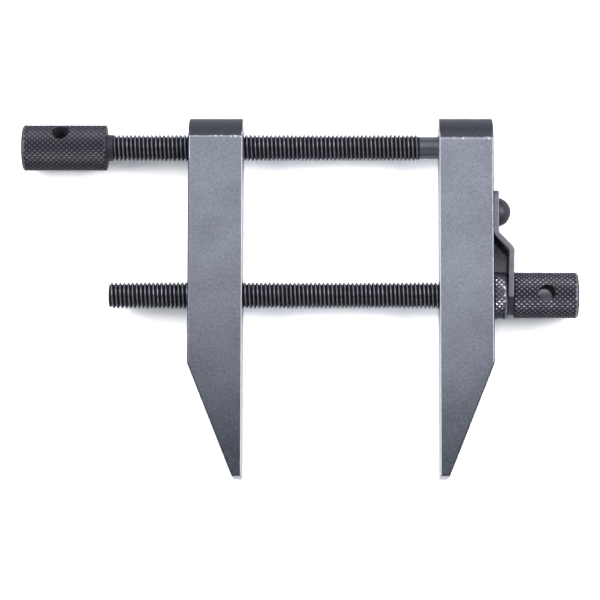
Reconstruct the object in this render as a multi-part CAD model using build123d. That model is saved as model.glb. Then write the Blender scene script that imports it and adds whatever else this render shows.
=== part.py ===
from build123d import *
import math
import os

# Toolmakers clamp lying on its side: +Z up, jaw tips towards -Y, both screws along X.
# Millimetres, full size. Everything is first built with X = 0 on the clamping face of the
# plain jaw, Y = 0 on the axis of the inner screw and Z = 0 halfway through the jaws.

# Jaw bars
BAR_WIDTH = 16.2
BAR_THICKNESS = 16.0
JAW_OPENING = 59.3
SCREW_SPACING = 45.0
TIP_REACH = 55.0
TAPER_LENGTH = 34.0
TIP_WIDTH = 2.6
TIP_BEVEL = 0.7
CROWN_HEIGHT = 8.85
CROWN_RADIUS = 8.15
BACK_EDGE_BREAK = 0.38
FACE_EDGE_BREAK = 0.18

# Screws
SCREW_DIAMETER = 8.0
HEAD_DIAMETER = 14.0
HEAD_LENGTH = 25.4
HEAD_END_RADIUS = 1.0
HEAD_SHOULDER_CHAMFER = 0.4
THREAD_END_CHAMFER = 0.6
OUTER_SHANK_LENGTH = 108.45
PILOT_DIAMETER = 6.65
PILOT_LENGTH = 13.7
PILOT_END_CHAMFER = 0.4
INNER_SHANK_LENGTH = 115.65
COLLAR_DIAMETER = 14.3
COLLAR_LENGTH = 4.1
COLLAR_CHAMFER = 0.5
COLLAR_RADIUS = 1.1
GROOVE_DIAMETER = 11.8
GROOVE_WIDTH = 2.0

# Cross holes for a tommy bar
TOMMY_HOLE_DIAMETER = 5.2
INNER_TOMMY_FROM_END = 9.65
OUTER_TOMMY_FROM_END = 11.8
OUTER_TOMMY_ANGLE = 37.0

# Holes in the jaws
SOCKET_DEPTH = 8.0
HOLE_COUNTERSINK = 0.4
SCREW_CLEARANCE = 0.05
PILOT_END_GAP = 0.1
COLLAR_GAP = 0.05

# Retaining clip
CLIP_THICKNESS = 1.5
CLIP_WIDTH = 15.5
CLIP_TOP = 31.1
CLIP_UPPER_BEND = 18.0
CLIP_LOWER_BEND = 13.2
CLIP_PRONG_END = -1.4
CLIP_LEAN = 1.5
CLIP_INSIDE_BEND_RADIUS = 1.0
CLIP_CORNER_RADIUS = 2.5
PRONG_CORNER_RADIUS = 0.5
CLIP_GROOVE_GAP = 0.1
FORK_CLEARANCE = 0.1

# Clip screw
CLIP_SCREW_HEIGHT = 25.3
CLIP_SCREW_HEAD_DIAMETER = 8.8
CLIP_SCREW_HEAD_HEIGHT = 3.9
CLIP_SCREW_DIAMETER = 5.0
CLIP_SCREW_DEPTH = 8.0
CLIP_SCREW_HOLE_DEPTH = 9.0
CLIP_SCREW_HOLE_CLEARANCE = 0.03
CLIP_HOLE_CLEARANCE = 0.15
DRIVER_SLOT_WIDTH = 1.2
DRIVER_SLOT_DEPTH = 1.4

THREADED_FACE = -JAW_OPENING
INNER_HEAD_FACE = BAR_WIDTH + COLLAR_GAP
INNER_GROOVE_START = INNER_HEAD_FACE + COLLAR_LENGTH
INNER_BODY_START = INNER_GROOVE_START + GROOVE_WIDTH
INNER_HEAD_END = INNER_HEAD_FACE + HEAD_LENGTH
INNER_FREE_END = INNER_HEAD_FACE - INNER_SHANK_LENGTH
PILOT_END = SOCKET_DEPTH - PILOT_END_GAP
OUTER_THREAD_END = PILOT_END - PILOT_LENGTH
OUTER_HEAD_FACE = PILOT_END - OUTER_SHANK_LENGTH
OUTER_HEAD_END = OUTER_HEAD_FACE - HEAD_LENGTH
CROWN_TOP = SCREW_SPACING + CROWN_HEIGHT
HALF_THICKNESS = BAR_THICKNESS / 2

# From the building position to the finished frame: centred on X and Y, resting on Z = 0
PLACE = Pos(
    -(OUTER_HEAD_END + INNER_HEAD_END) / 2,
    -(CROWN_TOP - TIP_REACH) / 2,
    HALF_THICKNESS,
)


def rod(radius, start, end, height):
    """A round bar along X at the given height above the inner screw axis."""
    centre = Vector((start + end) / 2, height, 0)
    return Location(centre, (0, 90, 0)) * Cylinder(radius, end - start)


def countersink(radius, face, inward, height):
    """The cone that opens a hole at the face; inward is the way into the metal."""
    mouth = radius + HOLE_COUNTERSINK
    section = Polyline(
        (face - inward * radius, 0),
        (face - inward * radius, mouth),
        (face, mouth),
        (face + inward * HOLE_COUNTERSINK, radius),
        (face + inward * HOLE_COUNTERSINK, 0),
        close=True,
    )
    return Pos(0, height, 0) * revolve(make_face(section), Axis.X)


def through_hole(radius, face, back, height):
    """A hole right through a jaw with both mouths countersunk."""
    inward = math.copysign(1, back - face)
    low, high = sorted((face, back))
    hole = rod(radius, low - BAR_WIDTH, high + BAR_WIDTH, height)
    hole += countersink(radius, face, inward, height)
    hole += countersink(radius, back, -inward, height)
    return hole


def jaw_bar(face, outward):
    """A solid jaw with its clamping face at X = face and its back towards outward."""
    back = face + outward * BAR_WIDTH
    side_view = Polyline(
        (face, -TIP_REACH),
        (face, CROWN_TOP + CROWN_HEIGHT),
        (back, CROWN_TOP + CROWN_HEIGHT),
        (back, TAPER_LENGTH - TIP_REACH),
        (face + outward * TIP_WIDTH, -TIP_REACH),
        close=True,
    )
    bar = extrude(make_face(side_view), HALF_THICKNESS, both=True)
    by_height = bar.edges().group_by(Axis.Z)
    side_edges = by_height[0] + by_height[-1]
    long_edges = [e for e in side_edges if e.length > BAR_WIDTH + TIP_WIDTH]
    face_edges = [e for e in long_edges if math.isclose(e.center().X, face, abs_tol=1e-6)]
    back_middles = [e.center() for e in long_edges if e not in face_edges]
    bar = chamfer(face_edges, FACE_EDGE_BREAK)
    back_edges = [bar.edges().sort_by_distance(middle)[0] for middle in back_middles]
    bar = chamfer(back_edges, BACK_EDGE_BREAK)

    crown_centre = CROWN_TOP - CROWN_RADIUS
    crown_start = crown_centre + math.sqrt(CROWN_RADIUS**2 - HALF_THICKNESS**2)
    edge_view = make_face(
        Polyline(
            (crown_start, HALF_THICKNESS),
            (TIP_BEVEL - TIP_REACH, HALF_THICKNESS),
            (-TIP_REACH, HALF_THICKNESS - TIP_BEVEL),
            (-TIP_REACH, TIP_BEVEL - HALF_THICKNESS),
            (TIP_BEVEL - TIP_REACH, -HALF_THICKNESS),
            (crown_start, -HALF_THICKNESS),
        )
        + ThreePointArc(
            (crown_start, -HALF_THICKNESS),
            (CROWN_TOP, 0),
            (crown_start, HALF_THICKNESS),
        )
    )
    bar &= Pos(face, 0, 0) * extrude(Plane.YZ * edge_view, 2 * BAR_WIDTH, both=True)
    crown_arcs = bar.edges().filter_by(GeomType.CIRCLE).group_by(Axis.X)
    return chamfer(crown_arcs[0] + crown_arcs[-1], FACE_EDGE_BREAK)


def turned(points, rounded):
    """A part turned about X from (x, radius) points; rounded lists (x, radius, fillet)."""
    section = make_face(Polyline(*points, close=True))
    for x, radius, fillet_radius in rounded:
        corner = section.vertices().sort_by_distance((x, radius, 0))[0]
        section = fillet(corner, fillet_radius)
    return revolve(section, Axis.X)


def outer_screw():
    """Head, shank and pilot in one, on the outer screw axis."""
    head = HEAD_DIAMETER / 2
    shank = SCREW_DIAMETER / 2
    pilot = PILOT_DIAMETER / 2
    body = turned(
        [
            (OUTER_HEAD_END, 0),
            (OUTER_HEAD_END, head),
            (OUTER_HEAD_FACE - HEAD_SHOULDER_CHAMFER, head),
            (OUTER_HEAD_FACE, head - HEAD_SHOULDER_CHAMFER),
            (OUTER_HEAD_FACE, shank),
            (OUTER_THREAD_END - THREAD_END_CHAMFER, shank),
            (OUTER_THREAD_END, shank - THREAD_END_CHAMFER),
            (OUTER_THREAD_END, pilot),
            (PILOT_END - PILOT_END_CHAMFER, pilot),
            (PILOT_END, pilot - PILOT_END_CHAMFER),
            (PILOT_END, 0),
        ],
        [(OUTER_HEAD_END, head, HEAD_END_RADIUS)],
    )
    hole = Cylinder(TOMMY_HOLE_DIAMETER / 2, HEAD_DIAMETER * 2)
    hole = Pos(OUTER_HEAD_END + OUTER_TOMMY_FROM_END, 0, 0) * Rot(-OUTER_TOMMY_ANGLE, 0, 0) * hole
    return Pos(0, SCREW_SPACING, 0) * (body - hole)


def inner_screw():
    """Shank, collar, groove and head in one, on the inner screw axis."""
    head = HEAD_DIAMETER / 2
    shank = SCREW_DIAMETER / 2
    collar = COLLAR_DIAMETER / 2
    core = GROOVE_DIAMETER / 2
    body = turned(
        [
            (INNER_FREE_END, 0),
            (INNER_FREE_END, shank - THREAD_END_CHAMFER),
            (INNER_FREE_END + THREAD_END_CHAMFER, shank),
            (INNER_HEAD_FACE, shank),
            (INNER_HEAD_FACE, collar - COLLAR_CHAMFER),
            (INNER_HEAD_FACE + COLLAR_CHAMFER, collar),
            (INNER_GROOVE_START, collar),
            (INNER_GROOVE_START, core),
            (INNER_BODY_START, core),
            (INNER_BODY_START, head - HEAD_SHOULDER_CHAMFER),
            (INNER_BODY_START + HEAD_SHOULDER_CHAMFER, head),
            (INNER_HEAD_END, head),
            (INNER_HEAD_END, 0),
        ],
        [
            (INNER_GROOVE_START, collar, COLLAR_RADIUS),
            (INNER_HEAD_END, head, HEAD_END_RADIUS),
        ],
    )
    hole = Cylinder(TOMMY_HOLE_DIAMETER / 2, HEAD_DIAMETER * 2)
    return body - Pos(INNER_HEAD_END - INNER_TOMMY_FROM_END, 0, 0) * hole


def sheet_section(points, thickness):
    """Both faces of a bent sheet whose middle runs through the points, corner to corner."""
    sides = []
    for side in (-1, 1):
        faces = []
        for first, last in zip(points[:-1], points[1:]):
            along = (Vector(*last) - Vector(*first)).normalized()
            normal = Vector(-along.Y, along.X) * (side * thickness / 2)
            faces.append((Vector(*first) + normal, along))
        line = [faces[0][0]]
        for (start, along), (other, other_along) in zip(faces[:-1], faces[1:]):
            across = along.X * other_along.Y - along.Y * other_along.X
            gap = other - start
            travel = (gap.X * other_along.Y - gap.Y * other_along.X) / across
            line.append(start + along * travel)
        end, along = faces[-1]
        line.append(end + along * (Vector(*points[-1]) - Vector(*points[-2])).length)
        sides.append(line)
    return sides


def retaining_clip():
    """The joggled strip with its fork around the groove of the inner screw."""
    half = CLIP_THICKNESS / 2
    upper = BAR_WIDTH + half
    prong = INNER_GROOVE_START + CLIP_GROOVE_GAP + half
    lean = (CLIP_LOWER_BEND - CLIP_PRONG_END) * math.tan(math.radians(CLIP_LEAN))
    middle = [
        (upper, CLIP_TOP),
        (upper, CLIP_UPPER_BEND),
        (prong + lean, CLIP_LOWER_BEND),
        (prong, CLIP_PRONG_END),
    ]
    jaw_side, far_side = sheet_section(middle, CLIP_THICKNESS)
    section = make_face(Polyline(*jaw_side, *reversed(far_side), close=True))
    inside = CLIP_INSIDE_BEND_RADIUS
    outside = inside + CLIP_THICKNESS
    for corner, radius in (
        (jaw_side[1], outside),
        (jaw_side[2], inside),
        (far_side[1], inside),
        (far_side[2], outside),
    ):
        section = fillet(section.vertices().sort_by_distance(corner)[0], radius)
    strip = extrude(section, CLIP_WIDTH / 2, both=True)

    for end, radius in ((-1, CLIP_CORNER_RADIUS), (0, PRONG_CORNER_RADIUS)):
        end_face = strip.faces().sort_by(Axis.Y)[end]
        corners = end_face.edges().sort_by(SortBy.LENGTH)[:2]
        strip = fillet(corners, radius)

    fork = GROOVE_DIAMETER / 2 + FORK_CLEARANCE
    slot_start = INNER_GROOVE_START - GROOVE_WIDTH
    slot_end = INNER_BODY_START + GROOVE_WIDTH
    slot = rod(fork, slot_start, slot_end, 0)
    slot += Pos((slot_start + slot_end) / 2, -CLIP_LOWER_BEND / 2, 0) * Box(
        slot_end - slot_start, CLIP_LOWER_BEND, 2 * fork
    )
    screw_hole = rod(
        CLIP_SCREW_DIAMETER / 2 + CLIP_HOLE_CLEARANCE,
        BAR_WIDTH - CLIP_THICKNESS,
        BAR_WIDTH + 2 * CLIP_THICKNESS,
        CLIP_SCREW_HEIGHT,
    )
    return strip - slot - screw_hole


def clip_screw():
    """Round head on the clip, shank through it into the plain jaw."""
    seat = BAR_WIDTH + CLIP_THICKNESS
    top = seat + CLIP_SCREW_HEAD_HEIGHT
    end = BAR_WIDTH - CLIP_SCREW_DEPTH
    shank = CLIP_SCREW_DIAMETER / 2
    rim = CLIP_SCREW_HEAD_DIAMETER / 2
    dome_radius = (rim**2 + CLIP_SCREW_HEAD_HEIGHT**2) / (2 * CLIP_SCREW_HEAD_HEIGHT)
    dome_centre = top - dome_radius
    half_way = math.atan2(rim, seat - dome_centre) / 2
    shoulder = (
        dome_centre + dome_radius * math.cos(half_way),
        dome_radius * math.sin(half_way),
    )
    section = make_face(
        Polyline((top, 0), (end, 0), (end, shank), (seat, shank), (seat, rim))
        + ThreePointArc((seat, rim), shoulder, (top, 0))
    )
    slot = Pos(top, 0, 0) * Box(
        2 * DRIVER_SLOT_DEPTH, 2 * CLIP_SCREW_HEAD_DIAMETER, DRIVER_SLOT_WIDTH
    )
    return Pos(0, CLIP_SCREW_HEIGHT, 0) * (revolve(section, Axis.X) - slot)


def plain_jaw():
    """Clearance hole for the inner screw, blind socket for the pilot, hole for the clip screw."""
    bar = jaw_bar(0, 1)
    bar -= through_hole(SCREW_DIAMETER / 2 + SCREW_CLEARANCE, 0, BAR_WIDTH, 0)
    socket = PILOT_DIAMETER / 2 + SCREW_CLEARANCE
    bar -= rod(socket, -SOCKET_DEPTH, SOCKET_DEPTH, SCREW_SPACING)
    bar -= countersink(socket, 0, 1, SCREW_SPACING)
    bar -= rod(
        CLIP_SCREW_DIAMETER / 2 + CLIP_SCREW_HOLE_CLEARANCE,
        BAR_WIDTH - CLIP_SCREW_HOLE_DEPTH,
        BAR_WIDTH + CLIP_SCREW_HOLE_DEPTH,
        CLIP_SCREW_HEIGHT,
    )
    return bar


def threaded_jaw():
    """Both holes are tapped right through."""
    bar = jaw_bar(THREADED_FACE, -1)
    back = THREADED_FACE - BAR_WIDTH
    for height in (0, SCREW_SPACING):
        bar -= through_hole(SCREW_DIAMETER / 2 + SCREW_CLEARANCE, THREADED_FACE, back, height)
    return bar


PIECES = {
    "plain_jaw": plain_jaw,
    "threaded_jaw": threaded_jaw,
    "outer_screw": outer_screw,
    "inner_screw": inner_screw,
    "retaining_clip": retaining_clip,
    "clip_screw": clip_screw,
}

os.makedirs("parts", exist_ok=True)
for name, make in PIECES.items():
    solid = (PLACE * make()).solid()
    solid.label = name
    export_step(solid, f"parts/{name}.step")
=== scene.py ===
import math

import bmesh
import bpy
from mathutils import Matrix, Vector


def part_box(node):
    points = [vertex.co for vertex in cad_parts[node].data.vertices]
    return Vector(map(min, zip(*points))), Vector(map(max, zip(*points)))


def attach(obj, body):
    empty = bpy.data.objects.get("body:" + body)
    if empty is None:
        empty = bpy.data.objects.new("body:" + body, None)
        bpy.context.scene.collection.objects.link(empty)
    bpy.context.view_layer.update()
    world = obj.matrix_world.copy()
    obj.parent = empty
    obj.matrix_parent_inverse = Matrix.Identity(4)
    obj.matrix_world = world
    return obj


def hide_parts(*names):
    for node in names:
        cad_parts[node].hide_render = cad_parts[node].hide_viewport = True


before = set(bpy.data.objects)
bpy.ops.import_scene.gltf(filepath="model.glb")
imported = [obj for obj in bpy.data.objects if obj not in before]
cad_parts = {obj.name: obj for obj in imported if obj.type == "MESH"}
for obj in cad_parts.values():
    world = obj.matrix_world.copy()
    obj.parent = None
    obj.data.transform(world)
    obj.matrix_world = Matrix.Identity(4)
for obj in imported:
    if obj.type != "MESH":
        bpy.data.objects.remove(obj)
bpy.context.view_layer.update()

# The clamp lies on the side faces of its jaws and the camera looks down on it from between
# them. It leans a little towards the jaw tips, so that their end faces just show. The lens is
# shifted sideways to bring the whole clamp into the picture.
MM = 0.001
CAMERA_DISTANCE = 790 * MM
CAMERA_TILT = math.radians(6.5)
PICTURE_MIDDLE = Vector((0.17, -0.82, 8)) * MM
CAMERA_OFFSET = Vector((13.5, 0, 0)) * MM
SENSOR_WIDTH = 36
FOCAL_LENGTH_IN_PICTURE_WIDTHS = 4.371
NEAREST_SEEN = 10 * MM

toward_camera = Vector((0, -math.sin(CAMERA_TILT), math.cos(CAMERA_TILT)))
bpy.ops.object.camera_add(
    location=PICTURE_MIDDLE + CAMERA_OFFSET + CAMERA_DISTANCE * toward_camera,
    rotation=(CAMERA_TILT, 0, 0),
)
camera = bpy.context.object
camera.data.sensor_width = SENSOR_WIDTH
camera.data.lens = SENSOR_WIDTH * FOCAL_LENGTH_IN_PICTURE_WIDTHS
camera.data.shift_x = -CAMERA_OFFSET.x / CAMERA_DISTANCE * FOCAL_LENGTH_IN_PICTURE_WIDTHS
camera.data.clip_start = NEAREST_SEEN
bpy.context.scene.camera = camera
bpy.context.scene.view_settings.view_transform = "Standard"

# The plain jaw, on the right. A square bar of tool steel, rounded across its thickness at one
# end and ground to a thin tip at the other. It is blackened, and then its sides, clamping face
# and tip are ground bright, with a painted reflection on the clamping face and tip and a painted
# highlight along the back edge. Both screws turn freely in it, one through it, one in a socket.
plain_low, plain_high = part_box("plain_jaw")
inner_low, inner_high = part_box("inner_screw")
outer_low, outer_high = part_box("outer_screw")
MIDDLE = (plain_low.z + plain_high.z) / 2
INNER_AXIS = (inner_low.y + inner_high.y) / 2
OUTER_AXIS = (outer_low.y + outer_high.y) / 2
JAW_WIDTH = plain_high.x - plain_low.x
PLAIN_CROWN_RADIUS = 8.03 * MM
CROWN_SIDES = 180
TAPER_LENGTH = 34 * MM
TIP_WIDTH = 2.6 * MM
TIP_ROUNDING = 0.7 * MM
BACK_EDGE_ROUNDING = 0.45 * MM
FACE_EDGE_ROUNDING = 0.16 * MM
HOLE_RADIUS = 4.05 * MM
SOCKET_RADIUS = 3.375 * MM
SOCKET_DEPTH = 8 * MM
COUNTERSINK = 0.4 * MM
CLIP_SCREW_AXIS = 25.875 * MM
CLIP_SCREW_HOLE_RADIUS = 2.53 * MM
CLIP_SCREW_HOLE_DEPTH = 9 * MM
ROUND_BAR_SIDES = 96
TOUCHING = 0.005 * MM
FACING_X = (0, math.pi / 2, 0)
JAW_SMOOTHING = 6
GROUND_EDGE = 0.04 * MM
EDGE_SCUFF = 0.05 * MM
# The painted highlight on the back edge: how it fades in, and how strongly it shows.
PAINTED_HIGHLIGHT_FADE = 1 * MM
BACK_EDGE_PAINTED_HIGHLIGHT = 0.7
TIP_PAINTED_REFLECTION_SHARE = 0.75
GRINDING_SIZE = 0.2 * MM
GRINDING_STRETCH = (1, 5, 1)
MOTTLE_SIZE = 0.45 * MM
CLOUD_SIZE = 14 * MM
NICK_SIZE = 1.1 * MM
NICKS_FADE = (0.3 * MM, 0.5 * MM)
LINE_FADE = (0.05 * MM, 0.25 * MM)
LINE_SHARE = 0.35
GROUND_DARK = (0.185, 0.198, 0.237, 1)
GROUND_LIGHT = (0.35, 0.369, 0.435, 1)
# Bare steel for the nicks, and a painted reflection for the clamping face and the tip.
BARE_STEEL_AND_PAINTED_REFLECTION = (0.78, 0.78, 0.82, 1)
BLACK_DARK = (0.042, 0.043, 0.058, 1)
BLACK_LIGHT = (0.077, 0.078, 0.103, 1)
BLACK_METALLIC = 0.3
BLACK_ROUGHNESS = 0.4
GROUND_ROUGHNESS = 0.165
CLAMPING_ROUGHNESS = 0.48
JAW_RELIEF = 0.002 * MM


def new_piece(name):
    """Names the shape just added and moves its place and turn into its mesh."""
    piece = bpy.context.object
    piece.name = name
    bpy.ops.object.transform_apply(location=True, rotation=True, scale=True)
    return piece


def choose(piece):
    """Selects one shape and nothing else."""
    bpy.ops.object.select_all(action="DESELECT")
    piece.select_set(True)
    bpy.context.view_layer.objects.active = piece


def edit(piece):
    """Opens one shape in edit mode, with everything in it selected."""
    choose(piece)
    bpy.ops.object.mode_set(mode="EDIT")
    bpy.ops.mesh.select_all(action="SELECT")


def finish_edit():
    """Leaves edit mode with every face pointing outwards."""
    bpy.ops.mesh.select_all(action="SELECT")
    bpy.ops.mesh.normals_make_consistent(inside=False)
    bpy.ops.object.mode_set(mode="OBJECT")


def pick(piece, kind, wanted):
    """In edit mode, selects only the corners, edges or faces whose middle is wanted."""
    bpy.ops.mesh.select_mode(type=kind)
    bpy.ops.mesh.select_all(action="DESELECT")
    mesh = bmesh.from_edit_mesh(piece.data)
    parts = {"VERT": mesh.verts, "EDGE": mesh.edges, "FACE": mesh.faces}[kind]
    for part in parts:
        corners = [part] if kind == "VERT" else part.verts
        middle = sum((corner.co for corner in corners), Vector()) / len(corners)
        if wanted(middle):
            part.select_set(True)
    mesh.select_flush_mode()
    bmesh.update_edit_mesh(piece.data)


def near(a, b):
    """Whether two positions are the same, but for rounding."""
    return abs(a - b) < TOUCHING


def extrude(x=0, y=0, z=0):
    """Extrudes what is selected by a distance along each axis."""
    bpy.ops.mesh.extrude_region_move(TRANSFORM_OT_translate={"value": (x, y, z)})


def slice_off(place, outward, fill=True):
    """Takes away what lies beyond a plane, given by a place on it and the way out of it."""
    bpy.ops.mesh.select_all(action="SELECT")
    bpy.ops.mesh.bisect(
        plane_co=place,
        plane_no=Vector(outward).normalized(),
        clear_outer=True,
        use_fill=fill,
        threshold=TOUCHING / 100,
    )


def change(piece, kind, **settings):
    """Applies a modifier with these settings to a piece."""
    choose(piece)
    modifier = piece.modifiers.new(kind, kind)
    for name, value in settings.items():
        setattr(modifier, name, value)
    bpy.ops.object.modifier_apply(modifier=modifier.name)


def cut(piece, cutter, operation="DIFFERENCE"):
    """Cuts a second shape from a piece, or joins it on, and deletes the second shape."""
    change(piece, "BOOLEAN", operation=operation, solver="MANIFOLD", object=cutter)
    bpy.data.objects.remove(cutter)


def disc(name, x, height, radius, sides):
    """A round face across the X axis, with its middle at the given Y, open in edit mode."""
    bpy.ops.mesh.primitive_circle_add(
        vertices=sides,
        radius=radius,
        fill_type="NGON",
        location=(x, height, MIDDLE),
        rotation=FACING_X,
    )
    piece = new_piece(name)
    edit(piece)
    return piece


def round_bar(start, end, radius, height):
    """A plain round bar along X, between two X positions, on an axis at the given Y."""
    bpy.ops.mesh.primitive_cylinder_add(
        vertices=ROUND_BAR_SIDES,
        radius=radius,
        depth=abs(end - start),
        location=((start + end) / 2, height, MIDDLE),
        rotation=FACING_X,
    )
    return new_piece("round bar")


def drill(piece, mouth, end, radius, height, through=False):
    """Drills a hole along X from its mouth, countersunk at each end that comes out."""
    tool = round_bar(mouth, end, radius, height)
    spread = (radius + COUNTERSINK) / radius
    edit(tool)
    for x in (mouth, end) if through else (mouth,):
        outward = math.copysign(1, x - (mouth + end) / 2)
        pick(tool, "FACE", lambda at: near(at.x, x) and near(at.y, height))
        bpy.ops.transform.translate(value=(-outward * COUNTERSINK, 0, 0))
        extrude(x=outward * (COUNTERSINK + TOUCHING))
        bpy.ops.transform.resize(value=(1, spread, spread))
        extrude(x=outward * COUNTERSINK)
    finish_edit()
    cut(piece, tool)


def crown_line(radius, low, high):
    """The Y position at which a jaw's sides run into its rounded end."""
    half_thickness = (high.z - low.z) / 2
    return high.y - radius + math.sqrt(radius**2 - half_thickness**2)


def jaw(name, face, back, low, high, crown_radius):
    """One jaw, with its clamping face and its back at these X positions."""
    outward = math.copysign(1, back - face)
    crown_start = crown_line(crown_radius, low, high)
    bar = disc(name, face, high.y - crown_radius, crown_radius, CROWN_SIDES)
    slice_off((face, crown_start, 0), (0, -1, 0), fill=False)
    pick(bar, "EDGE", lambda at: near(at.y, crown_start))
    extrude(y=low.y - crown_start)
    bpy.ops.mesh.select_all(action="SELECT")
    extrude(x=back - face)
    slice_off(
        (back, low.y + TAPER_LENGTH, 0),
        (outward * TAPER_LENGTH, TIP_WIDTH - JAW_WIDTH, 0),
    )
    bpy.ops.mesh.select_all(action="SELECT")
    bpy.ops.mesh.normals_make_consistent(inside=False)

    def on_side(at):
        return near(at.z, low.z) or near(at.z, high.z)

    def on_back(at):
        behind_taper = abs(at.x - face) > TIP_WIDTH and at.y < low.y + TAPER_LENGTH
        return near(at.x, back) or (on_side(at) and behind_taper)

    pick(bar, "EDGE", lambda at: on_side(at) and near(at.y, low.y))
    bpy.ops.mesh.bevel(offset=TIP_ROUNDING, segments=4)
    pick(bar, "EDGE", lambda at: near(at.x, face) and at.y > low.y + TIP_WIDTH)
    bpy.ops.mesh.bevel(offset=FACE_EDGE_ROUNDING, segments=2)
    pick(bar, "EDGE", on_back)
    bpy.ops.mesh.bevel(offset=BACK_EDGE_ROUNDING, segments=3)
    finish_edit()
    return bar


def smooth(piece, degrees=30):
    """Shades a piece smooth wherever its faces turn by less than this angle."""
    choose(piece)
    bpy.ops.object.shade_smooth_by_angle(angle=math.radians(degrees))


class Shade:
    """A value in a material's nodes.

    Arithmetic on it adds Math nodes, and | takes the larger of two values.
    """

    def __init__(self, tree, socket):
        self.tree = tree
        self.socket = socket

    def node(self, kind, sockets, output=0, **settings):
        """Adds any node: first its settings, then the values or links of its sockets."""
        made = self.tree.nodes.new(kind)
        for name, value in settings.items():
            setattr(made, name, value)
        for name, value in sockets.items():
            if isinstance(value, Shade):
                self.tree.links.new(value.socket, made.inputs[name])
            else:
                made.inputs[name].default_value = value
        return Shade(self.tree, made.outputs[output])

    def math(self, operation, *others):
        """Adds a Math node with this value first and then the others."""
        sockets = dict(enumerate((self, *others)))
        return self.node("ShaderNodeMath", sockets, operation=operation)

    def __add__(self, other):
        return self.math("ADD", other)

    def __sub__(self, other):
        return self.math("SUBTRACT", other)

    def __mul__(self, other):
        return self.math("MULTIPLY", other)

    def __or__(self, other):
        return self.math("MAXIMUM", other)

    def __rsub__(self, other):
        return self.node("ShaderNodeMath", {0: other, 1: self}, operation="SUBTRACT")

    def __abs__(self):
        return self.math("ABSOLUTE")

    __radd__ = __add__
    __rmul__ = __mul__


# The numbers of the Mix node's colour sockets, which share their names with others.
COLOUR_A = 6
COLOUR_B = 7
COLOUR_RESULT = 2


class Finish:
    """How a surface looks: a material, its shader and the place on the piece in metres."""

    def __init__(self, name):
        self.material = bpy.data.materials.new(name)
        self.material.use_nodes = True
        self.tree = self.material.node_tree
        self.shader = self.tree.nodes["Principled BSDF"]
        place = self.tree.nodes.new("ShaderNodeTexCoord")
        self.place = Shade(self.tree, place.outputs["Object"])

    def noise(self, size, detail=2, stretch=(1, 1, 1)):
        """Noise from 0 to 1 whose lumps are about this size, stretched along the axes."""
        scaled = self.place.node(
            "ShaderNodeVectorMath",
            {0: self.place, 1: [1 / (size * part) for part in stretch]},
            operation="MULTIPLY",
        )
        return scaled.node(
            "ShaderNodeTexNoise", {"Vector": scaled, "Scale": 1, "Detail": detail}
        )

    def blend(self, share, low, high):
        """A colour between two, by a share from 0 to 1."""
        return self.place.node(
            "ShaderNodeMix",
            {"Factor": share, COLOUR_A: low, COLOUR_B: high},
            output=COLOUR_RESULT,
            data_type="RGBA",
        )

    def feed(self, socket, value):
        """Gives one socket of the shader a value or a link."""
        if isinstance(value, Shade):
            self.tree.links.new(value.socket, self.shader.inputs[socket])
        else:
            self.shader.inputs[socket].default_value = value

    def bump(self, height, depth):
        """Relief of the given depth in metres from a height of 0 to 1."""
        relief = height.node(
            "ShaderNodeBump", {"Height": height, "Distance": depth, "Strength": 1}
        )
        self.feed("Normal", relief)


def along(place, axis):
    """One coordinate of a place, by the name of its axis."""
    return place.node("ShaderNodeSeparateXYZ", {"Vector": place}, output=axis)


def rise(value, low, high):
    """0 below low, 1 above high, and a smooth way from one to the other."""
    return value.node(
        "ShaderNodeMapRange",
        {"Value": value, "From Min": low, "From Max": high},
        interpolation_type="SMOOTHSTEP",
    )


def fall(value, low, high):
    """1 below low, 0 above high, and a smooth way from one to the other."""
    return 1 - rise(value, low, high)


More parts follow.
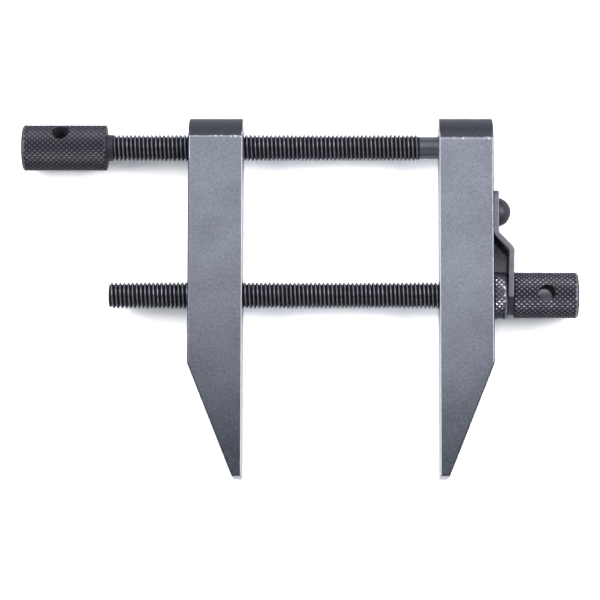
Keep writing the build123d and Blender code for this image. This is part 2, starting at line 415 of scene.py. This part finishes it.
def jaw_steel(name, face, back, low, high, crown_radius, painted_highlight_from):
    """Blackened steel, ground bright on both sides, the clamping face and the tip, and the
    clamping face and the tip also carry a painted reflection that makes them paler than the
    sides.

    The rounded edge along the back carries a painted highlight above the given Y, and the ground
    sides are nicked along the line where the rounded end begins.
    """
    steel = Finish(name)
    nicks = steel.noise(NICK_SIZE, detail=3)
    grinding = steel.noise(GRINDING_SIZE, stretch=GRINDING_STRETCH)
    mottle = steel.noise(MOTTLE_SIZE, detail=4)
    cloud = steel.noise(CLOUD_SIZE)
    height = along(steel.place, "Y")
    from_face = abs(along(steel.place, "X") - face)
    from_back = abs(along(steel.place, "X") - back)
    from_middle = abs(along(steel.place, "Z") - MIDDLE)
    from_line = abs(height - crown_line(crown_radius, low, high))
    half_thickness = (high.z - low.z) / 2
    ground_from = half_thickness - GROUND_EDGE
    edge_from = half_thickness - BACK_EDGE_ROUNDING

    at_back = fall(from_back, BACK_EDGE_ROUNDING * 0.9, BACK_EDGE_ROUNDING)
    at_edge = rise(from_middle, edge_from - BACK_EDGE_ROUNDING * 0.2, edge_from)
    scuff = (nicks - 0.5) * (EDGE_SCUFF * 2)
    side = rise(from_middle + scuff, ground_from - GROUND_EDGE, ground_from) * (1 - at_back)
    face_edge = fall(from_face, FACE_EDGE_ROUNDING, FACE_EDGE_ROUNDING * 1.2) * at_edge
    clamping = fall(from_face, TOUCHING, TOUCHING * 3) | face_edge
    tip = fall(height - low.y, TIP_ROUNDING * 0.45, TIP_ROUNDING * 0.6)
    # Painted highlight: the rounded back edge is made ground-bright only above a given height,
    # where a highlight shows.
    rubbed = rise(from_back, BACK_EDGE_ROUNDING * 0.5, BACK_EDGE_ROUNDING * 0.7)
    rubbed = rubbed * rise(height, painted_highlight_from - PAINTED_HIGHLIGHT_FADE, painted_highlight_from)
    back_edge_painted_highlight = BACK_EDGE_PAINTED_HIGHLIGHT * rubbed * at_edge * at_back
    ground = side | clamping | tip | back_edge_painted_highlight
    # Painted reflection: the clamping face and the tip are blended towards a paler steel colour
    # than the ground sides.
    painted_reflection_faces = clamping | TIP_PAINTED_REFLECTION_SHARE * tip
    nicked = rise(nicks, 0.58, 0.64) * fall(from_line, *NICKS_FADE)
    nicked = nicked | LINE_SHARE * fall(from_line, *LINE_FADE)

    tone = 0.4 * mottle + 0.35 * grinding + 0.25 * cloud
    bright = steel.blend(rise(tone, 0.3, 0.7), GROUND_DARK, GROUND_LIGHT)
    bright = steel.blend(painted_reflection_faces | nicked, bright, BARE_STEEL_AND_PAINTED_REFLECTION)
    black = steel.blend(rise(mottle, 0.3, 0.75), BLACK_DARK, BLACK_LIGHT)
    roughness = BLACK_ROUGHNESS + (GROUND_ROUGHNESS - BLACK_ROUGHNESS) * ground
    roughness = roughness + (CLAMPING_ROUGHNESS - GROUND_ROUGHNESS) * painted_reflection_faces
    steel.feed("Base Color", steel.blend(ground, black, bright))
    steel.feed("Metallic", BLACK_METALLIC + (1 - BLACK_METALLIC) * ground)
    steel.feed("Roughness", roughness + 0.06 * mottle)
    steel.bump(0.5 * grinding * ground + 0.5 * mottle, JAW_RELIEF)
    return steel.material


def dress(piece, material, node, body):
    """Gives a finished piece its material, hides the CAD part that it stands in for, and hangs
    it on the body that it moves with.
    """
    piece.data.materials.clear()
    piece.data.materials.append(material)
    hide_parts(node)
    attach(piece, body)


plain_shape = (plain_low.x, plain_high.x, plain_low, plain_high, PLAIN_CROWN_RADIUS)
plain_jaw = jaw("plain_jaw_bar", *plain_shape)
socket_end = plain_low.x + SOCKET_DEPTH
clip_screw_hole_end = plain_high.x - CLIP_SCREW_HOLE_DEPTH
drill(plain_jaw, plain_low.x, plain_high.x, HOLE_RADIUS, INNER_AXIS, through=True)
drill(plain_jaw, plain_low.x, socket_end, SOCKET_RADIUS, OUTER_AXIS)
drill(plain_jaw, plain_high.x, clip_screw_hole_end, CLIP_SCREW_HOLE_RADIUS, CLIP_SCREW_AXIS)
smooth(plain_jaw, JAW_SMOOTHING)
plain_steel = jaw_steel("plain jaw steel", *plain_shape, plain_low.y + TAPER_LENGTH)
dress(plain_jaw, plain_steel, "plain_jaw", "fixed_jaw")

# The threaded jaw, on the left. It is the same bar, shaped and ground the same way, the other
# way round. Both of its holes are tapped, so that it travels along the two screws.
threaded_low, threaded_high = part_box("threaded_jaw")
THREADED_CROWN_RADIUS = 8.15 * MM
# The painted highlight on the threaded jaw's back edge stops this far below the outer screw.
PAINTED_HIGHLIGHT_BELOW_SCREW = 4 * MM

threaded_shape = (
    threaded_high.x,
    threaded_low.x,
    threaded_low,
    threaded_high,
    THREADED_CROWN_RADIUS,
)
threaded_jaw = jaw("threaded_jaw_bar", *threaded_shape)
for axis in (INNER_AXIS, OUTER_AXIS):
    drill(threaded_jaw, threaded_low.x, threaded_high.x, HOLE_RADIUS, axis, through=True)
smooth(threaded_jaw, JAW_SMOOTHING)
threaded_steel = jaw_steel(
    "threaded jaw steel", *threaded_shape, OUTER_AXIS - PAINTED_HIGHLIGHT_BELOW_SCREW
)
dress(threaded_jaw, threaded_steel, "threaded_jaw", "sliding_jaw")

# The outer screw. It is turned from one steel bar: a knurled head with a cross hole for a
# tommy bar, a short neck, a coarse right-hand thread and a plain pilot. It is blackened, and
# the pilot is rubbed brighter where it turns in the socket of the plain jaw.
HEAD_LENGTH = 25.4 * MM
HEAD_RADIUS = 7 * MM
HEAD_CHAMFER = 0.4 * MM
HEAD_ROUNDING = 1.0 * MM
ROUNDING_STEPS = 5
NECK_LENGTH = 1.9 * MM
THREAD_RADIUS = 3.98 * MM
THREAD_DEPTH = 0.76 * MM
PITCH = 1.25 * MM
THREAD_FLANK = 0.31 * PITCH
THREAD_ROOT = 0.16 * PITCH
STEPS_PER_TURN = 40
SPARE_TURNS = 2
PILOT_LENGTH = 13.7 * MM
PILOT_RADIUS = 3.325 * MM
KNURLS_AROUND = 27
KNURL_STEP = 0.8 * MM
KNURL_DEPTH = 0.42 * MM
KNURL_FLAT = 0.22 * MM
TOMMY_HOLE_RADIUS = 2.6 * MM
TOMMY_HOLE_SIDES = 64
OUTER_HOLE_FROM_END = 11.8 * MM
OUTER_HOLE_TURN = math.radians(-37)
# Painted shade for the thread roots and the knurl grooves.
SCREW_GROOVE_PAINTED_SHADE = (0.012, 0.011, 0.014, 1)
SCREW_DARK = (0.046, 0.046, 0.061, 1)
SCREW_LIGHT = (0.083, 0.083, 0.108, 1)
SCREW_WORN = (0.47, 0.47, 0.56, 1)
PILOT_BRIGHT = (0.2, 0.206, 0.235, 1)
SCREW_GRAIN_SIZE = 0.25 * MM
WEAR_PATCH_SIZE = 2.2 * MM
LEAST_WEAR = 0.25
PILOT_FADE = 0.05 * MM
THREAD_FADE = 0.1 * MM
BLACK_RELIEF = 0.004 * MM

# How far from a screw's axis each of these begins and is complete.
CREST_RUBBED = (THREAD_RADIUS - 0.14 * MM, THREAD_RADIUS - 0.02 * MM)
PAST_CREST = (THREAD_RADIUS + 0.05 * MM, THREAD_RADIUS + 0.1 * MM)
OUT_OF_THREAD = (THREAD_RADIUS - 0.4 * MM, THREAD_RADIUS)
POINT_RUBBED = (HEAD_RADIUS - 0.26 * MM, HEAD_RADIUS - 0.08 * MM)
PAST_POINT = (HEAD_RADIUS, HEAD_RADIUS + 0.1 * MM)
KNURL_REACHED = (HEAD_RADIUS - 0.5 * MM, HEAD_RADIUS - 0.45 * MM)
OUT_OF_KNURL = (HEAD_RADIUS - KNURL_DEPTH, HEAD_RADIUS - 0.22 * MM)


def widen(factor, height):
    """Scales what is selected away from, or towards, the axis at the given Y."""
    bpy.ops.transform.resize(value=(1, factor, factor), center_override=(0, height, MIDDLE))


def knurled(name, shoulder, end, radius, height, chamfer, rounding):
    """A diamond-knurled bar from its chamfered shoulder to its rounded end."""
    outward = math.copysign(1, end - shoulder)
    knurl_length = abs(end - shoulder) - chamfer - rounding
    rows = round(knurl_length / KNURL_STEP)
    step = outward * knurl_length / rows
    bar = disc(name, shoulder, height, radius - chamfer, 2 * KNURLS_AROUND)
    extrude(x=outward * chamfer)
    widen(radius / (radius - chamfer), height)
    for row in range(rows):
        extrude(x=step)
    forward, inward = 0, 0
    for part in range(1, ROUNDING_STEPS + 1):
        angle = math.pi / 2 * part / ROUNDING_STEPS
        next_forward = rounding * math.sin(angle)
        next_inward = rounding * (1 - math.cos(angle))
        extrude(x=outward * (next_forward - forward))
        widen((radius - next_inward) / (radius - inward), height)
        forward, inward = next_forward, next_inward

    first_row = shoulder + outward * chamfer

    def is_knurl(at, odd, margin):
        """Whether a corner is on the knurl, this many rows from its ends, and is odd or even."""
        row = (at.x - first_row) / step
        around = math.atan2(at.z - MIDDLE, at.y - height) * KNURLS_AROUND / math.pi
        on_skin = math.hypot(at.z - MIDDLE, at.y - height) > radius - TOUCHING
        inside = margin <= round(row, 1) <= rows - margin
        return inside and on_skin and (round(row) + round(around)) % 2 == odd

    pick(bar, "VERT", lambda at: is_knurl(at, 1, 0))
    bpy.ops.mesh.vert_connect()
    pick(bar, "VERT", lambda at: is_knurl(at, 1, 0))
    widen((radius - KNURL_DEPTH) / radius, height)
    pick(bar, "VERT", lambda at: is_knurl(at, 0, 1))
    bpy.ops.mesh.bevel(offset=KNURL_FLAT, affect="VERTICES")
    finish_edit()
    return bar


def thread(start, end, height):
    """A right-hand thread between two X positions, chamfered at both ends."""
    crest = PITCH - THREAD_ROOT - 2 * THREAD_FLANK
    profile = (
        (THREAD_ROOT, 0),
        (THREAD_FLANK, THREAD_DEPTH),
        (crest, 0),
        (THREAD_FLANK, -THREAD_DEPTH),
    )
    bpy.ops.mesh.primitive_plane_add(
        size=PITCH, location=(start - SPARE_TURNS * PITCH, height, MIDDLE)
    )
    shank = bpy.context.object
    edit(shank)
    bpy.ops.mesh.merge(type="CENTER")
    bpy.ops.transform.translate(value=(0, THREAD_RADIUS - THREAD_DEPTH, 0))
    for x, y in profile:
        bpy.ops.mesh.extrude_vertices_move(TRANSFORM_OT_translate={"value": (x, y, 0)})
    bpy.ops.object.mode_set(mode="OBJECT")
    change(
        shank,
        "SCREW",
        axis="X",
        angle=2 * math.pi,
        screw_offset=PITCH,
        iterations=math.ceil((end - start) / PITCH) + 2 * SPARE_TURNS,
        steps=STEPS_PER_TURN,
        render_steps=STEPS_PER_TURN,
    )
    new_piece("thread")
    edit(shank)
    bpy.ops.mesh.remove_doubles(threshold=TOUCHING / 10)
    bpy.ops.mesh.fill_holes(sides=0)
    finish_edit()
    blank = round_bar(start, end, THREAD_RADIUS + TOUCHING, height)
    edit(blank)
    pick(blank, "EDGE", lambda at: near(at.x, start) or near(at.x, end))
    bpy.ops.mesh.bevel(offset=THREAD_DEPTH)
    finish_edit()
    cut(shank, blank, "INTERSECT")
    return shank


def tommy_hole(head, place, height, turn):
    """Drills the cross hole at an X position, turned about the screw's axis."""
    bpy.ops.mesh.primitive_cylinder_add(
        vertices=TOMMY_HOLE_SIDES,
        radius=TOMMY_HOLE_RADIUS,
        depth=4 * HEAD_RADIUS,
        location=(place, height, MIDDLE),
        rotation=(turn, 0, 0),
    )
    cut(head, new_piece("tommy drill"))


def screw_steel(name, height, thread_from, thread_to, rubbed, pilot_from=None):
    """Blackened steel, rubbed brighter on the thread crests and on the knurl's points, with
    painted shade darkening the thread and knurl grooves.

    The knurl's points are rubbed by a share from 0 to 1. A pilot that begins at a given X is
    rubbed and scratched all over.
    """
    steel = Finish(name)
    patches = rise(steel.noise(WEAR_PATCH_SIZE, detail=3), 0.25, 0.75)
    grain = steel.noise(SCREW_GRAIN_SIZE, detail=3)
    forward = along(steel.place, "X")
    across = along(steel.place, "Y") - height
    up = along(steel.place, "Z") - MIDDLE
    from_axis = (across * across + up * up).math("SQRT")

    on_thread = rise(forward, thread_from - THREAD_FADE, thread_from)
    on_thread = on_thread - rise(forward, thread_to - THREAD_FADE, thread_to)
    on_crest = rise(from_axis, *CREST_RUBBED) * fall(from_axis, *PAST_CREST) * on_thread
    thread_painted_shade = fall(from_axis, *OUT_OF_THREAD) * on_thread
    on_point = rise(from_axis, *POINT_RUBBED) - 0.5 * rise(from_axis, *PAST_POINT)
    knurl_painted_shade = rise(from_axis, *KNURL_REACHED) * fall(from_axis, *OUT_OF_KNURL)
    worn = (on_crest | rubbed * on_point) * (LEAST_WEAR + (1 - LEAST_WEAR) * patches)

    black = steel.blend(grain, SCREW_DARK, SCREW_LIGHT)
    # Painted shade: the thread roots and flanks and the knurl grooves are darkened.
    black = steel.blend(knurl_painted_shade | thread_painted_shade, black, SCREW_GROOVE_PAINTED_SHADE)
    colour = steel.blend(worn, black, SCREW_WORN)
    metallic = BLACK_METALLIC + (1 - BLACK_METALLIC) * worn
    roughness = BLACK_ROUGHNESS + 0.1 * grain - 0.2 * worn
    if pilot_from is not None:
        pilot = rise(forward, pilot_from, pilot_from + PILOT_FADE)
        scratched = rise(grain, 0.35, 0.65)
        colour = steel.blend(pilot * (0.45 + 0.55 * scratched), colour, PILOT_BRIGHT)
        metallic = metallic | pilot * (0.6 + 0.4 * scratched)
        roughness = roughness - 0.08 * pilot
    steel.feed("Base Color", colour)
    steel.feed("Metallic", metallic)
    steel.feed("Roughness", roughness)
    steel.bump(grain, BLACK_RELIEF)
    return steel.material


outer_shoulder = outer_low.x + HEAD_LENGTH
neck_end = outer_shoulder + NECK_LENGTH
thread_end = outer_high.x - PILOT_LENGTH
outer_screw = knurled(
    "outer_screw_turned",
    outer_shoulder,
    outer_low.x,
    HEAD_RADIUS,
    OUTER_AXIS,
    HEAD_CHAMFER,
    HEAD_ROUNDING,
)
for part in (
    round_bar(outer_shoulder - NECK_LENGTH, neck_end, THREAD_RADIUS, OUTER_AXIS),
    thread(neck_end - THREAD_DEPTH / 2, thread_end, OUTER_AXIS),
    round_bar(thread_end - NECK_LENGTH, outer_high.x, PILOT_RADIUS, OUTER_AXIS),
):
    cut(outer_screw, part, "UNION")
tommy_hole(outer_screw, outer_low.x + OUTER_HOLE_FROM_END, OUTER_AXIS, OUTER_HOLE_TURN)
smooth(outer_screw)
outer_steel = screw_steel(
    "outer screw steel", OUTER_AXIS, neck_end, thread_end, rubbed=0.28, pilot_from=thread_end
)
dress(outer_screw, outer_steel, "outer_screw", "outer_screw")

# The inner screw. Its head has a groove near the jaw, in which the fork of the clip sits, and
# the knurled collar that this leaves bears on the back of the plain jaw. The whole shank is
# threaded and its end stands out behind the threaded jaw.
COLLAR_LENGTH = 4.1 * MM
COLLAR_RADIUS = 7.15 * MM
COLLAR_CHAMFER = 0.5 * MM
COLLAR_ROUNDING = 1.1 * MM
GROOVE_WIDTH = 2 * MM
GROOVE_RADIUS = 5.9 * MM
INNER_HOLE_FROM_END = 9.65 * MM
INNER_THREAD_START = 0.2 * MM

collar_face = inner_high.x - HEAD_LENGTH
groove_start = collar_face + COLLAR_LENGTH
groove_end = groove_start + GROOVE_WIDTH
inner_screw = knurled(
    "inner_screw_turned",
    groove_end,
    inner_high.x,
    HEAD_RADIUS,
    INNER_AXIS,
    HEAD_CHAMFER,
    HEAD_ROUNDING,
)
collar = knurled(
    "collar",
    collar_face,
    groove_start,
    COLLAR_RADIUS,
    INNER_AXIS,
    COLLAR_CHAMFER,
    COLLAR_ROUNDING,
)
for part in (
    round_bar(collar_face + GROOVE_WIDTH, groove_end + GROOVE_WIDTH, GROOVE_RADIUS, INNER_AXIS),
    collar,
    thread(inner_low.x, collar_face + GROOVE_WIDTH, INNER_AXIS),
):
    cut(inner_screw, part, "UNION")
tommy_hole(inner_screw, inner_high.x - INNER_HOLE_FROM_END, INNER_AXIS, 0)
smooth(inner_screw)
inner_steel = screw_steel(
    "inner screw steel", INNER_AXIS, inner_low.x + INNER_THREAD_START, collar_face, rubbed=0.9
)
dress(inner_screw, inner_steel, "inner_screw", "inner_screw")

# The retaining clip. A strip of blackened sheet steel, joggled so that its upper end lies flat
# on the back of the plain jaw and its forked lower end stands in the groove of the inner
# screw. It keeps that screw from sliding out of the jaw.
clip_low, clip_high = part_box("retaining_clip")
CLIP_THICKNESS = 1.5 * MM
CLIP_UPPER_BEND = 18.575 * MM
CLIP_LOWER_BEND = 13.775 * MM
CLIP_LEAN = math.radians(1.5)
CLIP_BEND_RADIUS = 1.75 * MM
CLIP_CORNER = 2.5 * MM
CLIP_EDGE_BREAK = 0.14 * MM
PRONG_CORNER = 0.5 * MM
FORK_RADIUS = 6 * MM
PRONG_FROM_GROOVE = 0.85 * MM
CLIP_HOLE_RADIUS = 2.65 * MM
CLIP_GRAIN_SIZE = 0.3 * MM
CLIP_CLOUD_SIZE = 3 * MM
CLIP_DARK = (0.14, 0.135, 0.165, 1)
CLIP_LIGHT = (0.235, 0.229, 0.275, 1)


def block(name, middle, size):
    """A box, by its middle and its length along each axis."""
    bpy.ops.mesh.primitive_cube_add(size=1, location=middle)
    bpy.context.object.scale = size
    return new_piece(name)


def black_steel(name, dark, light):
    """Steel with a thin black finish that lets some of the metal through."""
    steel = Finish(name)
    grain = steel.noise(CLIP_GRAIN_SIZE, detail=3)
    cloud = rise(steel.noise(CLIP_CLOUD_SIZE), 0.3, 0.7)
    steel.feed("Base Color", steel.blend(0.6 * grain + 0.4 * cloud, dark, light))
    steel.feed("Metallic", BLACK_METALLIC)
    steel.feed("Roughness", 0.36 + 0.12 * grain)
    steel.bump(grain, BLACK_RELIEF)
    return steel.material


upper_x = plain_high.x + CLIP_THICKNESS / 2
prong_x = groove_start + PRONG_FROM_GROOVE
prong_rise = CLIP_LOWER_BEND - clip_low.y
joggle_x = prong_x + prong_rise * math.tan(CLIP_LEAN)
bend = math.atan2(joggle_x - upper_x, CLIP_UPPER_BEND - CLIP_LOWER_BEND)
bpy.ops.mesh.primitive_plane_add(
    size=1,
    location=(upper_x, (clip_high.y + CLIP_UPPER_BEND) / 2, MIDDLE),
    rotation=FACING_X,
)
bpy.context.object.scale = (clip_high.z - clip_low.z, clip_high.y - CLIP_UPPER_BEND, 1)
clip = new_piece("retaining_clip_strip")
edit(clip)
pick(clip, "EDGE", lambda at: near(at.y, CLIP_UPPER_BEND))
extrude(x=joggle_x - upper_x, y=CLIP_LOWER_BEND - CLIP_UPPER_BEND)
extrude(x=prong_x - joggle_x, y=-prong_rise)


def on_bend(at):
    """Whether an edge lies across the strip at one of its two bends."""
    at_height = near(at.y, CLIP_UPPER_BEND) or near(at.y, CLIP_LOWER_BEND)
    return at_height and near(at.z, MIDDLE)


pick(clip, "EDGE", on_bend)
bpy.ops.mesh.bevel(offset=CLIP_BEND_RADIUS * math.tan(bend / 2), segments=8)
pick(clip, "VERT", lambda at: near(at.y, clip_high.y))
bpy.ops.mesh.bevel(offset=CLIP_CORNER, segments=10, affect="VERTICES")
pick(clip, "VERT", lambda at: at.y < clip_low.y + PRONG_CORNER)
bpy.ops.mesh.bevel(offset=PRONG_CORNER, segments=4, affect="VERTICES")
finish_edit()
change(clip, "SOLIDIFY", thickness=CLIP_THICKNESS, offset=0, use_even_offset=True)

fork = round_bar(groove_start - GROOVE_WIDTH, groove_end + GROOVE_WIDTH, FORK_RADIUS, INNER_AXIS)
fork_opening = block(
    "fork opening",
    ((groove_start + groove_end) / 2, INNER_AXIS - FORK_RADIUS, MIDDLE),
    (3 * GROOVE_WIDTH, 2 * FORK_RADIUS, 2 * FORK_RADIUS),
)
cut(fork, fork_opening, "UNION")
cut(clip, fork)
clip_hole = round_bar(
    plain_high.x - CLIP_THICKNESS,
    plain_high.x + 2 * CLIP_THICKNESS,
    CLIP_HOLE_RADIUS,
    CLIP_SCREW_AXIS,
)
cut(clip, clip_hole)
change(
    clip,
    "BEVEL",
    width=CLIP_EDGE_BREAK,
    segments=2,
    limit_method="ANGLE",
    angle_limit=math.radians(50),
)
smooth(clip)
clip_steel = black_steel("clip steel", CLIP_DARK, CLIP_LIGHT)
dress(clip, clip_steel, "retaining_clip", "fixed_jaw")

# The clip screw. A small round-headed screw, blackened, with a slot for a screwdriver across
# its dome. Its shank goes through the clip into the back of the plain jaw.
DOME_HEIGHT = 3.9 * MM
RIM_RADIUS = 4.4 * MM
SHANK_RADIUS = 2.5 * MM
SLOT_WIDTH = 1.2 * MM
SLOT_DEPTH = 1.4 * MM

shank_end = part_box("clip_screw")[0].x
seat = plain_high.x + CLIP_THICKNESS
dome_radius = (RIM_RADIUS**2 + DOME_HEIGHT**2) / (2 * DOME_HEIGHT)
bpy.ops.mesh.primitive_uv_sphere_add(
    segments=64,
    ring_count=48,
    radius=dome_radius,
    location=(seat + DOME_HEIGHT - dome_radius, CLIP_SCREW_AXIS, MIDDLE),
    rotation=FACING_X,
)
clip_screw = new_piece("clip_screw_turned")
edit(clip_screw)
slice_off((seat, 0, 0), (-1, 0, 0))
pick(clip_screw, "FACE", lambda at: near(at.x, seat))
bpy.ops.mesh.inset(thickness=RIM_RADIUS - SHANK_RADIUS)
extrude(x=shank_end - seat)
finish_edit()
slot = block(
    "slot",
    (seat + DOME_HEIGHT, CLIP_SCREW_AXIS, MIDDLE),
    (2 * SLOT_DEPTH, 3 * RIM_RADIUS, SLOT_WIDTH),
)
cut(clip_screw, slot)
smooth(clip_screw)
clip_screw_steel = black_steel("clip screw steel", BLACK_DARK, BLACK_LIGHT)
dress(clip_screw, clip_screw_steel, "clip_screw", "fixed_jaw")

# The floor is a plain white table with the clamp's shadow on it. It is white to the camera and
# in whatever mirrors it, and throws less light back on the clamp.
FLOOR_SIZE = 6
FLOOR_GAP = 0.02 * MM
FLOOR_ROUGHNESS = 0.8
FLOOR_PALE = (0.6, 0.6, 0.6, 1)
FLOOR_WHITE = (0.9, 0.9, 0.9, 1)
FLOOR_SEEN = (2.2, 2.2, 2.2, 1)


def ray_kinds(value):
    """1 where something is seen by the camera, in a mirroring face, or through glass."""
    return [
        value.node("ShaderNodeLightPath", {}, output=kind)
        for kind in ("Is Camera Ray", "Is Glossy Ray", "Is Transmission Ray")
    ]


bpy.ops.mesh.primitive_plane_add(size=FLOOR_SIZE, location=(0, 0, -FLOOR_GAP))
floor = new_piece("floor")
table = Finish("white table")
by_camera, mirrored, through_glass = ray_kinds(table.place)
white = table.blend(mirrored | through_glass, FLOOR_PALE, FLOOR_WHITE)
table.feed("Base Color", table.blend(by_camera, white, FLOOR_SEEN))
table.feed("Roughness", FLOOR_ROUGHNESS)
floor.data.materials.append(table.material)

# Soft studio light: a large soft box over the rounded ends of the jaws, a panel at each side
# and a weak one at the tips. The room is dim, and its low walls are pale where they are seen
# or mirrored, most of all the wall behind the rounded ends.
ROOM_COLOUR = (0.78, 0.86, 1.0, 1)
ROOM_LIGHT = 0.15
WALL_LIGHT = 0.7
WALL_TOP = (0.2, 0.5)
FRONT_TO_BACK = (-0.4, 0.4)
FRONT_WALL_SHARE = 0.35

world = bpy.data.worlds.new("room")
bpy.context.scene.world = world
world.use_nodes = True
background = world.node_tree.nodes["Background"]
background.inputs["Color"].default_value = ROOM_COLOUR
coordinates = world.node_tree.nodes.new("ShaderNodeTexCoord")
direction = Shade(world.node_tree, coordinates.outputs["Generated"])
by_camera, mirrored, through_glass = ray_kinds(direction)
to_back = rise(along(direction, "Y"), *FRONT_TO_BACK)
walls = fall(along(direction, "Z"), *WALL_TOP) * (by_camera | mirrored | through_glass)
walls = walls * (FRONT_WALL_SHARE + (1 - FRONT_WALL_SHARE) * to_back)
strength = ROOM_LIGHT + (WALL_LIGHT - ROOM_LIGHT) * walls
world.node_tree.links.new(strength.socket, background.inputs["Strength"])

for name, place, size, power in (
    ("soft box", (0.05, 0.516, 0.97), (1.6, 0.98), 4.8),
    ("left panel", (-0.85, 0.15, 0.8), (0.7, 0.5), 7),
    ("right panel", (0.85, 0.15, 0.8), (0.7, 0.5), 7),
    ("front panel", (0, -0.85, 0.8), (1.0, 0.5), 0.8),
):
    bpy.ops.object.light_add(type="AREA", location=place)
    lamp = bpy.context.object
    lamp.name = name
    lamp.rotation_euler = Vector(place).to_track_quat("Z", "Y").to_euler()
    lamp.data.shape = "RECTANGLE"
    lamp.data.size, lamp.data.size_y = size
    lamp.data.energy = power
